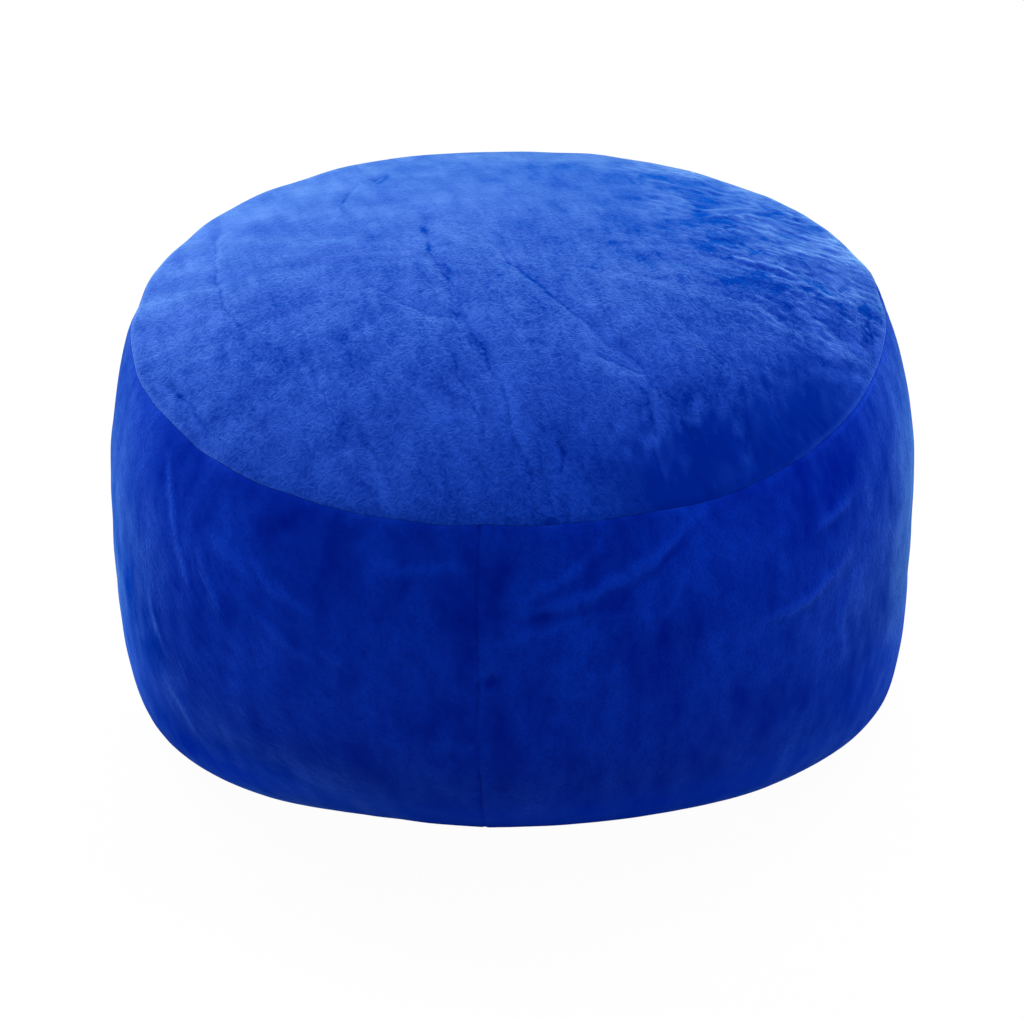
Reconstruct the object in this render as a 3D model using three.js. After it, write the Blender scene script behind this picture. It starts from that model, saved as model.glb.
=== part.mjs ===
// A round bean bag seat in short plush: a crowned top panel, one side band closed by an upright seam at the
// front, and a flat base panel. Each panel is a solid of its own, filled out as the stuffed bag is, and the solids
// meet at the sewn seams. The bag has sagged a little: its top slopes down to the front, its sides belly out, and
// its lower front edge is drawn in more than the rest.
//
// Millimetres, +Z up, front towards -Y. The origin is the middle of the bag's flat base, on the floor.
import * as THREE from "three";

// Driving dimensions
const CLOTH = 2; // plush and its backing together
const SEAM_GAP = 0.3; // left between panels where they are sewn
const BELLY_HEIGHT = 157; // widest level of the side band
const CROWN_RISE = 52; // middle of the top panel above its seam
const UPPER_ROUNDNESS = 2.8; // how late the side band turns in to the top seam
const NOTCH_DEPTH = 2.5; // how far the cloth dips into the top seam
const NOTCH_REACH = 7; // distance over which it dips
const UPRIGHT_SEAM = { azimuth: 265.2, depth: 3, width: 5 }; // degrees round the bag, then the groove's size
const FOLD_TIP = 0.08; // a crease starts this far along its fading curve, and ends as far before its end

// The bag's outline at eight places round it, azimuth in degrees from +X towards +Y. floor is the radius of the
// part that lies flat, belly the widest radius, seam the radius of the top seam and seamHeight its level. heel
// rounds the lower edge: 2 is an ellipse, more is squarer. shoulder says how the crown falls to the seam: 2 is an
// even dome, more is flat in the middle and steep at the rim.
const STATIONS = [
  { side: "right", azimuth: 0, floor: 310, heel: 2.5, belly: 323, seam: 294, seamHeight: 328, shoulder: 2.6 },
  { side: "back right", azimuth: 45, floor: 294, heel: 2.1, belly: 322, seam: 300, seamHeight: 343, shoulder: 2.3 },
  { side: "back", azimuth: 90, floor: 278, heel: 2.1, belly: 320, seam: 306, seamHeight: 348, shoulder: 2.2 },
  { side: "back left", azimuth: 135, floor: 288, heel: 2.1, belly: 322, seam: 302, seamHeight: 345, shoulder: 2.1 },
  { side: "left", azimuth: 180, floor: 296, heel: 2.8, belly: 321, seam: 298, seamHeight: 320, shoulder: 2.0 },
  { side: "front left", azimuth: 225, floor: 255, heel: 2.0, belly: 324, seam: 286, seamHeight: 294, shoulder: 2.2 },
  { side: "front", azimuth: 270, floor: 132, heel: 3.0, belly: 316, seam: 287, seamHeight: 292, shoulder: 2.6 },
  { side: "front right", azimuth: 315, floor: 240, heel: 2.5, belly: 315, seam: 288, seamHeight: 295, shoulder: 3.0 },
];

// Creases in the top panel. Each runs from one place to another in plan, bowed sideways by bow; depth is how far
// it sinks and width how far it spreads.
const TOP_FOLDS = [
  { fold: "long left", from: [-238, 148], to: [-182, -112], bow: -19, depth: 3.0, width: 11 },
  { fold: "long left, lower end", from: [-158, -93], to: [-88, -264], bow: -3, depth: 2.4, width: 10 },
  { fold: "left of the middle", from: [-123, 22], to: [-41, -120], bow: 0, depth: 2.2, width: 10 },
  { fold: "middle", from: [-71, 108], to: [-23, -134], bow: -6, depth: 3.0, width: 11 },
  { fold: "middle, lower end", from: [-13, -150], to: [21, -268], bow: 1, depth: 2.6, width: 10 },
  { fold: "beside the middle", from: [-36, -156], to: [-9, -247], bow: 0, depth: 2.2, width: 8 },
  { fold: "long diagonal", from: [-11, 24], to: [60, -110], bow: -2, depth: 3.2, width: 11 },
  { fold: "diagonal, lower end", from: [59, -133], to: [128, -242], bow: 15, depth: 3.2, width: 11 },
  { fold: "beside the diagonal", from: [95, -166], to: [108, -262], bow: 2, depth: 2.6, width: 9 },
  { fold: "short at the front", from: [27, -218], to: [37, -280], bow: 1, depth: 2.6, width: 8 },
  { fold: "front right, first", from: [155, -156], to: [175, -226], bow: 3, depth: 3.0, width: 9 },
  { fold: "front right, second", from: [186, -132], to: [202, -182], bow: 1, depth: 2.8, width: 9 },
  { fold: "gather on the right, rear", from: [161, 132], to: [267, 57], bow: 20, depth: 2.6, width: 10 },
  { fold: "gather on the right, middle", from: [153, 60], to: [267, -21], bow: 17, depth: 2.8, width: 10 },
  { fold: "gather on the right, fore", from: [148, -4], to: [261, -76], bow: 16, depth: 2.6, width: 10 },
  { fold: "hollow by the right seam", from: [280, 8], to: [273, -72], bow: 1, depth: 2.4, width: 8 },
  { fold: "dent by the left seam", from: [-260, -97], to: [-227, -157], bow: 3, depth: 3.0, width: 9 },
  { fold: "rear left", from: [-137, 194], to: [-145, 104], bow: 1, depth: 2.2, width: 9 },
];

// Creases and soft ridges in the side band, as azimuth from the front in degrees, positive to the right, and
// height. A negative depth is a ridge.
const BAND_FOLDS = [
  { fold: "sweep from the seam", from: [26, 283], to: [-1, 228], bow: 7, depth: -3.6, width: 12 },
  { fold: "hollow under the sweep", from: [27, 264], to: [1, 215], bow: 9, depth: 4.0, width: 14 },
  { fold: "upper sweep", from: [11, 272], to: [0, 242], bow: 3, depth: -2.6, width: 10 },
  { fold: "lower sweep", from: [13, 213], to: [0, 196], bow: -2, depth: -2.6, width: 11 },
  { fold: "dimple by the seam", from: [-2, 180], to: [-4, 176], bow: 0, depth: 4.0, width: 11 },
  { fold: "long left", from: [-59, 282], to: [-46, 150], bow: 12, depth: -3.2, width: 10 },
  { fold: "left, second", from: [-49, 256], to: [-39, 210], bow: -2, depth: -2.6, width: 9 },
  { fold: "left, third", from: [-45, 243], to: [-35, 212], bow: 5, depth: -2.2, width: 8 },
  { fold: "left, fourth", from: [-41, 250], to: [-21, 187], bow: 6, depth: -2.6, width: 10 },
  { fold: "left of the seam", from: [-19, 257], to: [-6, 265], bow: -2, depth: -2.2, width: 9 },
  { fold: "right", from: [49, 219], to: [28, 205], bow: 5, depth: -2.8, width: 11 },
  { fold: "high on the right", from: [56, 268], to: [45, 254], bow: 5, depth: -2.6, width: 10 },
  { fold: "low on the right", from: [53, 188], to: [53, 118], bow: -9, depth: -2.8, width: 15 },
];

// Mesh layout
const EVEN_COLUMNS = 88;
const SEAM_COLUMNS = [-1.8, -0.8, 0, 0.8, 1.8]; // degrees either side of the upright seam
const NEAR_SEAM_ROWS = [3, 8, 16, 28]; // distances from the top seam
const TOP_ROW_STEP = 15;
const BAND_ROW_STEP = 14;
const LOWER_ROWS = 10;
const INNER_RINGS = [0.3, 0.6, 0.85, 0.97]; // shares of the radius, on the faces inside a seam

const COLOUR = {
  top: 0x2a52d0,
  side: 0x0b2aa0,
  base: 0x0a2080,
};

const FRONT = 270;
const rad = THREE.MathUtils.degToRad;

// A station's value at any azimuth, on one smooth closed curve through all eight.
function around(key, azimuth) {
  const n = STATIONS.length;
  const place = (THREE.MathUtils.euclideanModulo(azimuth, 360) / 360) * n;
  const i = Math.floor(place) % n;
  const f = place - Math.floor(place);
  const [a, b, c, d] = [-1, 0, 1, 2].map((k) => STATIONS[(i + k + n) % n][key]);
  return b + 0.5 * f * (c - a + f * (2 * a - 5 * b + 4 * c - d + f * (3 * (b - c) + d - a)));
}

const meanSeamHeight = STATIONS.reduce((sum, s) => sum + s.seamHeight, 0) / STATIONS.length;

// How far a crease moves the cloth at a point of its own flat plane: a soft trough along a bowed line, fading out
// at both ends.
function foldOffset(fold, x, y) {
  const [ax, ay] = fold.from;
  const [bx, by] = fold.to;
  const length = Math.hypot(bx - ax, by - ay);
  const ux = (bx - ax) / length;
  const uy = (by - ay) / length;
  const along = ((x - ax) * ux + (y - ay) * uy) / length;
  const onLine = THREE.MathUtils.clamp(along, 0, 1);
  const sideways = (x - ax) * -uy + (y - ay) * ux - 4 * fold.bow * onLine * (1 - onLine);
  const past = (along - onLine) * length;
  const ends = Math.sqrt(Math.sin(Math.PI * THREE.MathUtils.lerp(FOLD_TIP, 1 - FOLD_TIP, onLine)));
  return -fold.depth * ends * Math.exp(-(sideways ** 2 + past ** 2) / fold.width ** 2);
}

function topFolds(x, y) {
  return TOP_FOLDS.reduce((sum, fold) => sum + foldOffset(fold, x, y), 0);
}

// The band's creases are laid out flat: arc length round the belly across, height up.
function bandFolds(azimuth, z) {
  const perDegree = rad(around("belly", azimuth));
  const fromFront = THREE.MathUtils.euclideanModulo(azimuth - FRONT + 180, 360) - 180;
  const flat = (p) => [p[0] * perDegree, p[1]];
  return BAND_FOLDS.reduce(
    (sum, f) => sum + foldOffset({ ...f, from: flat(f.from), to: flat(f.to) }, fromFront * perDegree, z),
    0,
  );
}

function seamRadius(azimuth) {
  return around("seam", azimuth) - NOTCH_DEPTH;
}

function seamLevel(azimuth) {
  return around("seamHeight", azimuth) - NOTCH_DEPTH;
}

// The hidden face where the top panel's filling meets the band's, a shallow dish that ends on the seam line.
function innerLevel(azimuth, share) {
  return seamLevel(azimuth) * share ** 2 + (meanSeamHeight - NOTCH_DEPTH) * (1 - share ** 2);
}

function dip(distance) {
  return NOTCH_DEPTH * (1 - Math.exp(-distance / NOTCH_REACH));
}

// Height of the top panel at a share of the seam's radius: the crown, the roll into the seam and the creases.
function topLevel(azimuth, share) {
  const radius = seamRadius(azimuth) * share;
  const crown = CROWN_RISE * (1 - share ** around("shoulder", azimuth));
  const inside = seamRadius(azimuth) - radius;
  const x = radius * Math.cos(rad(azimuth));
  const y = radius * Math.sin(rad(azimuth));
  const settled = Math.min(1, inside / NOTCH_REACH);
  return innerLevel(azimuth, share) + crown + dip(inside) + settled * topFolds(x, y);
}

// Radius of the side band at a height: a rounded lower edge, the belly, a turn in to the seam, then creases.
function bandRadius(azimuth, z) {
  const floor = around("floor", azimuth);
  const belly = around("belly", azimuth);
  const heel = around("heel", azimuth);
  const top = seamLevel(azimuth);
  const up = THREE.MathUtils.clamp((z - BELLY_HEIGHT) / (top - BELLY_HEIGHT), 0, 1);
  const low = 1 - THREE.MathUtils.clamp(z / BELLY_HEIGHT, 0, 1);
  const lower = floor + (belly - floor) * (1 - low ** heel) ** (1 / heel);
  const upper = belly - (belly - around("seam", azimuth)) * up ** UPPER_ROUNDNESS;
  const drawnIn = dip(top - z) - NOTCH_DEPTH;
  const fromSeam = rad(azimuth - UPRIGHT_SEAM.azimuth) * belly;
  const groove = UPRIGHT_SEAM.depth * Math.exp(-((fromSeam / UPRIGHT_SEAM.width) ** 2));
  const settled = Math.min(1, (top - z) / NOTCH_REACH, z / NOTCH_REACH);
  return (z < BELLY_HEIGHT ? lower : upper) + drawnIn + settled * (bandFolds(azimuth, z) - groove);
}

// Even columns round the bag, with closer ones at the upright seam.
function columns() {
  const seam = SEAM_COLUMNS.map((d) => UPRIGHT_SEAM.azimuth + d);
  const even = Array.from({ length: EVEN_COLUMNS }, (_, i) => (360 * i) / EVEN_COLUMNS);
  const clear = even.filter((a) => seam.every((s) => Math.abs(a - s) > 1));
  return [...clear, ...seam].sort((a, b) => a - b);
}

const COLUMNS = columns();

// A ring of points, one on each column, from a radius and a height that may vary round the bag.
function ring(radiusAt, heightAt) {
  return COLUMNS.map((azimuth) => {
    const r = radiusAt(azimuth);
    return new THREE.Vector3(r * Math.cos(rad(azimuth)), r * Math.sin(rad(azimuth)), heightAt(azimuth));
  });
}

// A closed body from rings that run from a lower pole, out, up and in to an upper pole. slant says which way the
// four-sided cells are cut in two after each ring, so that two bodies that face each other are cut alike.
function closedBody(lowerPole, rings, upperPole) {
  const n = COLUMNS.length;
  const points = [lowerPole, ...rings.flatMap((r) => r.points), upperPole];
  const at = (row, i) => 1 + row * n + (i % n);
  const last = points.length - 1;
  const faces = [];
  for (let i = 0; i < n; i++) {
    faces.push(0, at(0, i + 1), at(0, i));
    faces.push(last, at(rings.length - 1, i), at(rings.length - 1, i + 1));
  }
  for (let row = 0; row + 1 < rings.length; row++) {
    for (let i = 0; i < n; i++) {
      const [a, b, c, d] = [at(row, i), at(row, i + 1), at(row + 1, i + 1), at(row + 1, i)];
      faces.push(...(rings[row].slant ? [a, b, d, b, c, d] : [a, b, c, a, c, d]));
    }
  }
  const geometry = new THREE.BufferGeometry();
  geometry.setAttribute("position", new THREE.Float32BufferAttribute(points.flatMap((p) => p.toArray()), 3));
  geometry.setIndex(faces);
  geometry.computeVertexNormals();
  return geometry;
}

function pole(height) {
  return new THREE.Vector3(0, 0, height);
}

function topPanel() {
  const half = SEAM_GAP / 2;
  const rings = INNER_RINGS.map((share) => ({
    points: ring((a) => seamRadius(a) * share, (a) => innerLevel(a, share) + half),
  }));
  rings.push({ points: ring(seamRadius, (a) => seamLevel(a) + half) });
  const typical = STATIONS[0].seam;
  const insides = [...NEAR_SEAM_ROWS];
  for (let d = NEAR_SEAM_ROWS.at(-1) + TOP_ROW_STEP; d < typical - TOP_ROW_STEP; d += TOP_ROW_STEP) {
    insides.push(d);
  }
  for (const inside of insides) {
    const share = 1 - inside / typical;
    rings.push({ points: ring((a) => seamRadius(a) * share, (a) => topLevel(a, share)) });
  }
  return closedBody(pole(innerLevel(0, 0) + half), rings, pole(topLevel(0, 0)));
}

function sideBand() {
  const half = SEAM_GAP / 2;
  const bottom = CLOTH + SEAM_GAP;
  const baseEdge = (a) => bandRadius(a, bottom);
  const rings = INNER_RINGS.map((share) => ({
    points: ring((a) => baseEdge(a) * share, () => bottom),
    slant: true,
  }));
  const firstTurn = Math.acos(1 - bottom / BELLY_HEIGHT);
  for (let i = 0; i < LOWER_ROWS; i++) {
    const turn = THREE.MathUtils.lerp(firstTurn, Math.PI / 2, i / LOWER_ROWS);
    const z = BELLY_HEIGHT * (1 - Math.cos(turn));
    rings.push({ points: ring((a) => bandRadius(a, z), () => z) });
  }
  const upperRows = Math.round((meanSeamHeight - BELLY_HEIGHT - NEAR_SEAM_ROWS.at(-1)) / BAND_ROW_STEP);
  const reach = (a) => seamLevel(a) - NEAR_SEAM_ROWS.at(-1) - BELLY_HEIGHT;
  for (let i = 0; i < upperRows; i++) {
    const level = (a) => BELLY_HEIGHT + (reach(a) * i) / upperRows;
    rings.push({ points: ring((a) => bandRadius(a, level(a)), level) });
  }
  for (const below of NEAR_SEAM_ROWS.toReversed()) {
    const level = (a) => seamLevel(a) - below;
    rings.push({ points: ring((a) => bandRadius(a, level(a)), level) });
  }
  rings.push({ points: ring(seamRadius, (a) => seamLevel(a) - half), slant: true });
  for (const share of INNER_RINGS.toReversed()) {
    rings.push({
      points: ring((a) => seamRadius(a) * share, (a) => innerLevel(a, share) - half),
      slant: true,
    });
  }
  return closedBody(pole(bottom), rings, pole(innerLevel(0, 0) - half));
}

// The base panel lies flat on the floor, a cloth disc with a rounded edge just inside the band. share is how far
// out a ring of its section lies.
function basePanel() {
  const edge = (a) => bandRadius(a, CLOTH + SEAM_GAP) - CLOTH;
  const halfway = 0.5;
  const section = [
    { share: halfway, inset: 0, z: 0 },
    { share: 1, inset: CLOTH / 2, z: 0 },
    { share: 1, inset: 0, z: CLOTH / 2 },
    { share: 1, inset: CLOTH / 2, z: CLOTH },
    { share: halfway, inset: 0, z: CLOTH },
  ];
  const rings = section.map(({ share, inset, z }) => ({
    points: ring((a) => edge(a) * share - inset, () => z),
  }));
  return closedBody(pole(0), rings, pole(CLOTH));
}

function panel(name, geometry, color) {
  const material = new THREE.MeshStandardMaterial({ color, roughness: 0.9, metalness: 0 });
  const mesh = new THREE.Mesh(geometry, material);
  mesh.name = name;
  return mesh;
}

const bag = new THREE.Group();
bag.name = "bean_bag_seat";
bag.add(panel("top_panel", topPanel(), COLOUR.top));
bag.add(panel("side_band", sideBand(), COLOUR.side));
bag.add(panel("base_panel", basePanel(), COLOUR.base));

export default bag;
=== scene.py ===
"""A round bean bag seat in short blue plush: a crowned top panel, a bellied side band closed by one
upright seam at the front, and a flat base panel. Each panel is a surface worked out on a grid, azimuth
round the bag by distance from a seam, and the plush's creases, the way its pile lies and the light and
shade painted on it are laid on it from short tables."""
import math

import bpy
import numpy as np
from mathutils import Matrix, Vector


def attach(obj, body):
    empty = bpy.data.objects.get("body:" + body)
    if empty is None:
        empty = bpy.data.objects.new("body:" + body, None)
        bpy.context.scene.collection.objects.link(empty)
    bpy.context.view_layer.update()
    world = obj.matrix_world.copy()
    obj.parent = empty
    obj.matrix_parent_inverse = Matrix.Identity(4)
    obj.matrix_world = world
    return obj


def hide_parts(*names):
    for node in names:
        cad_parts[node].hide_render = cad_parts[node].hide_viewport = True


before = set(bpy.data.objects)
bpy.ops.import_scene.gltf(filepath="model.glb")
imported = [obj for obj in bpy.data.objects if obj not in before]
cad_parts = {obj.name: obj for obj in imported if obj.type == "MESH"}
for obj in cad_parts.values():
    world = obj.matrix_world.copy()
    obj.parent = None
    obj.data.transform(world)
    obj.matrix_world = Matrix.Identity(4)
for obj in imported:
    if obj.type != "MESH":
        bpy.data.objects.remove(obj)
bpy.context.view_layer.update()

# Shapes are worked out in millimetres, and made into meshes in metres
MM = 0.001

CLOTH = 2.0
SEAM_GAP = 0.3
BELLY_HEIGHT = 157.0
CROWN_RISE = 52.0
UPPER_ROUNDNESS = 2.8
NOTCH_DEPTH = 1.0
NOTCH_REACH = 2.2
UPRIGHT_SEAM = {"azimuth": 265.2, "depth": 1.4, "width": 1.7, "reach": 9.0}
FRONT = 270.0

# Typical radii: of the top seam for lengths round it, and of the top panel for its grid
SEAM_RING = 290.0
TOP_RADIUS = 292.0

# The length of one degree round the front of the belly
PER_DEGREE = math.radians(1.0) * 319.0

# How far from a seam the creases and the unevenness have risen to their full height
SETTLED_REACH = 14.0

# A low hump of the filling at the rear of the top, and a flatter place on the right of the band
REAR_HUMP = {"x": 10.0, "y": 175.0, "reach": 120.0, "height": 3.2}
FLAT_PLACE = {"azimuth": 0.0, "spread": 16.0, "z": 165.0, "reach": 60.0, "depth": 1.8}

# Painted shade on the top at the front right, and how far from the seam it ends
FRONT_SHADOW = {"azimuth": 311.0, "spread": 27.0, "full": 22.0, "gone": 84.0, "strength": 0.50}

# The bag's outline at eight places, every 45 degrees from the right over the back and the left to the front
STATIONS = {
    #         right  b.right  back  b.left  left  f.left  front  f.right
    "floor": (310.0, 294.0, 278.0, 288.0, 296.0, 255.0, 132.0, 240.0),
    "heel": (2.5, 2.1, 2.1, 2.1, 2.8, 2.0, 3.0, 2.5),
    "belly": (323.0, 322.0, 320.0, 322.0, 321.0, 324.0, 316.0, 315.0),
    "seam": (294.0, 300.0, 306.0, 302.0, 298.0, 286.0, 287.0, 288.0),
    "seam_height": (328.0, 343.0, 348.0, 345.0, 320.0, 294.0, 292.0, 295.0),
    "shoulder": (2.6, 2.3, 2.2, 2.1, 2.0, 2.2, 2.6, 3.0),
}

# Creases in the top panel, in plan: from x, y to x, y, how far the line bows, how deep and wide its soft
# trough is, and how strongly the pile parts along it, shown as a thin line of painted shade with a painted
# highlight beside it. A negative depth is a ridge, and a negative parting is a painted highlight along it.
TOP_FOLDS = {
    #                           from x  from y   to x    to y   bow  depth  width  parting
    "long left": (-238, 148, -182, -112, -19, 1.7, 9, 0.8),
    "long left, fork": (-191, -84, -179, -112, 0, 0.8, 7, 0.6),
    "long left, further on": (-155, -110, -134, -160, 0, 1.0, 7, 0.7),
    "long left, lower end": (-158, -93, -88, -264, -3, 1.3, 8, 0.1),
    "lower end, first": (-128, -192, -116, -215, 0, 0.8, 6, 0.5),
    "lower end, second": (-111, -199, -95, -237, 1, 1.2, 7, 0.8),
    "lower end, ridge": (-104, -216, -85, -274, 0, -0.8, 6, -0.9),
    "left of the middle": (-118, -1, -34, -98, -9, 1.2, 8, 0.5),
    "middle": (-71, 108, -23, -134, -6, 1.6, 9, 0.25),
    "middle, rear": (-58, 8, -43, -36, -1, 1.0, 6, 1.0),
    "middle, fore": (-43, -80, -24, -142, 0, 1.0, 6, 0.7),
    "middle, lower end": (-24, -116, 15, -266, 1, 1.6, 8, 1.0),
    "middle, lower ridge": (-6, -166, 15, -243, 0, -0.8, 6, -0.8),
    "beside the middle": (-48, -125, -19, -223, 0, 1.3, 7, 0.8),
    "long diagonal": (-20, 50, 78, -130, -8, 1.3, 9, 0.9),
    "by the diagonal": (63, -137, 93, -155, -1, 1.2, 7, 0.9),
    "diagonal, lower end": (80, -127, 115, -191, 4, 1.2, 8, 0.7),
    "diagonal, lower ridge": (93, -153, 109, -237, 3, -1.2, 6, -0.6),
    "beside the diagonal": (95, -166, 108, -262, 2, 1.6, 7, 0.5),
    "right of the diagonal": (114, -164, 131, -209, 0, 1.2, 7, 0.7),
    "right, short": (136, -97, 158, -131, 0, 1.0, 7, 0.6),
    "short at the front": (30, -220, 35, -255, 2, 1.5, 7, 0.9),
    "short at the front, end": (27, -259, 31, -280, 0, 1.0, 6, 0.6),
    "short at the front, beside it": (19, -237, 24, -263, 0, 1.0, 6, 0.5),
    "front right, first": (155, -156, 175, -226, 3, 1.8, 8, 0.4),
    "front right, second": (186, -132, 202, -182, 1, 1.6, 8, 0.3),
    "gather on the right, rear": (161, 132, 267, 57, 20, 0.7, 8, 0.3),
    "gather on the right, middle": (153, 60, 267, -21, 17, 0.8, 8, 0.4),
    "gather on the right, fore": (148, -4, 261, -76, 16, 0.8, 8, 0.3),
    "ripple, rear": (161, 124, 201, 151, 3, -0.8, 5, -0.7),
    "ripple, long": (155, 99, 248, 90, 30, -0.9, 5, -0.6),
    "ripple, middle": (185, 20, 227, 2, 9, -0.8, 5, -0.5),
    "ripple, fore": (205, -27, 228, -23, 0, -0.8, 5, -0.6),
    "hollow by the right seam": (279, -5, 278, -68, 1, 1.8, 8, 0.8),
    "dent by the left seam": (-260, -97, -227, -157, 3, 1.8, 8, 0.8),
    "rear left": (-128, 196, -141, 140, 0, 1.2, 7, 0.8),
    "rear left, upper dent": (-106, 212, -114, 200, 0, 1.4, 6, 1.0),
}

# The same in the side band, where the parting is painted shade along the hollows and a painted highlight
# along the ridges: azimuth from the front in degrees, positive to the right, and height
BAND_FOLDS = {
    #                          from    up   to    up   bow  depth  width  parting
    "sweep from the seam": (27, 283, 0, 230, 7, -2.3, 8, -0.6),
    "hollow under the sweep": (26, 278, 18, 250, 1, 2.0, 8, 0.4),
    "hollow, further on": (18, 246, 2, 218, 6, 1.8, 11, 0.15),
    "hollow by the seam": (6, 229, -2, 231, 0, 1.4, 8, 0.35),
    "upper sweep": (11, 272, 0, 242, 3, -1.7, 7, -0.5),
    "fold right of the sweep": (24, 249, 19, 218, 3, -1.2, 6, -0.3),
    "lower sweep": (-2, 209, 13, 224, 5, -1.6, 8, -0.45),
    "dimple by the seam": (-2, 180, -4, 176, 0, 2.6, 8, 0.5),
    "long left": (-59, 284, -50, 222, 3, -1.1, 4, -0.8),
    "left, second": (-50, 226, -47, 196, 0, -0.8, 6, -0.4),
    "left, third": (-47, 239, -42, 195, 2, -0.9, 6, -0.5),
    "left, fourth": (-45, 251, -37, 229, 1, -1.0, 7, -0.5),
    "left, fifth": (-38, 245, -28, 219, 1, -1.1, 7, -0.5),
    "left, sixth": (-36, 208, -27, 181, -1, -0.9, 6, -0.4),
    "left, seventh": (-26, 192, -22, 181, 0, -0.8, 5, -0.3),
    "left, low": (-58, 171, -55, 134, 0, -1.2, 5, -0.5),
    "left, lowest": (-54, 101, -50, 62, 0, -1.4, 8, -0.4),
    "left of the seam": (-14, 261, -6, 265, 0, -1.2, 6, -0.45),
    "left of the seam, far": (-19, 258, -15, 260, 0, -1.0, 9, -0.5),
    "right": (36, 196, 52, 213, -7, -1.7, 7, -0.5),
    "high on the right": (46, 245, 55, 253, 0, -1.6, 8, -0.5),
    "low on the right": (53, 188, 53, 118, -9, -1.4, 16, -0.05),
}

# How far the parted pile and its painted shade reach to each side of a crease's line, and the narrow core
# of its trough
LINE_REACH = 7.0
CORE_WIDTH = 3.6
CORE_SHARE = 0.3

# Where the top is painted lighter or darker, partly for how its pile lies and partly as painted light and
# shade, such as the lighter left edge: x, y, half length, half width, turn in degrees, strength
TOP_PATCHES = {
    #                            x     y   long  wide  turn  strength
    "left edge": (-265, 5, 150, 36, 88, 0.31),
    "rear left": (-215, 160, 75, 42, 50, 0.24),
    "right of the middle": (85, 80, 100, 55, 72, -0.24),
    "among the ripples": (182, 78, 74, 42, 85, -0.52),
    "fore of the ripples": (220, -25, 66, 36, 10, -0.38),
    "crumpled, by the right seam": (255, -75, 40, 18, 70, 0.14),
    "rear right": (110, 195, 80, 42, -20, -0.28),
    "rear middle": (-10, 200, 80, 45, 0, -0.17),
    "by the middle crease": (-18, -25, 55, 32, -60, -0.14),
    "front of the diagonal": (72, -125, 62, 34, 35, 0.22),
    "front": (-35, -215, 95, 42, 5, 0.20),
    "front left": (-175, -165, 70, 30, -42, 0.14),
    "left of the middle": (-80, 115, 70, 50, 0, 0.08),
    "far right": (262, 75, 60, 24, 78, 0.05),
}

# Small dents of the top's pile, painted only in colour: shade in their hollows and highlights where
# they are crumpled, in the same columns
TOP_DENT_SHADE_AND_HIGHLIGHT = {
    "rear left": (-107, 205, 12, 4, 85, -0.40),
    "rear left, long": (-136, 138, 24, 3, 86, -0.30),
    "middle crease, rearmost": (-69, 67, 8, 2.5, 96, -0.70),
    "middle crease, rear": (-61, 32, 11, 2.5, 100, -0.75),
    "middle crease": (-50, -16, 15, 3, 108, -0.55),
    "middle crease, fore": (-30, -108, 24, 4, 108, -0.15),
    "left seam, first": (-259, -95, 13, 4, 100, -0.50),
    "left seam, second": (-247, -116, 9, 4, 110, -0.40),
    "left seam, third": (-236, -142, 12, 4, 125, -0.30),
    "left": (-167, -71, 9, 6, 60, -0.25),
    "left, small": (-126, -92, 6, 4, 60, -0.40),
    "right of the middle crease": (15, -126, 9, 4, 0, -0.30),
    "by the diagonal": (48, -142, 9, 3, 110, -0.45),
    "right of the diagonal": (63, -11, 9, 4, 0, -0.30),
    "right of the diagonal, rear": (85, 36, 12, 5, 0, -0.35),
    "right, small": (118, -26, 12, 4, 10, -0.40),
    "right": (172, -18, 12, 6, 20, -0.30),
    "right of the diagonal, fore": (126, -175, 9, 5, 100, -0.35),
    "ripples, fore": (219, -8, 13, 5, 0, -0.30),
    "ripples, right": (246, 4, 8, 8, 0, -0.35),
    "ripples, far right": (264, 15, 7, 6, 0, -0.35),
    "ripples, middle": (156, 92, 15, 10, 0, -0.20),
    "ripples, rear": (226, 150, 15, 7, -25, -0.35),
    "ripples, by the seam": (253, 128, 12, 8, -40, -0.30),
    "right seam": (276, -50, 20, 5, 88, -0.70),
    "right seam, rear": (276, -14, 10, 5, 90, -0.80),
    "crumple, light, first": (247, -83, 8, 5, 10, 0.30),
    "crumple, light, second": (255, -68, 8, 5, 60, 0.30),
    "crumple, light, third": (241, -106, 11, 4, 60, 0.30),
    "crumple, light, fourth": (266, -101, 8, 5, 80, 0.35),
    "crumple, light, rear": (262, -47, 7, 5, 0, 0.25),
    "crumple, dark": (254, -93, 7, 5, 0, -0.30),
    "right seam, light": (268, -8, 8, 6, 20, 0.30),
    "right, light": (208, -92, 9, 5, 0, 0.25),
    "front left": (-130, -202, 20, 8, 30, -0.18),
    "front": (36, -240, 18, 3, 94, -0.30),
    "front right": (100, -182, 14, 5, 100, -0.30),
}

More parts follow.
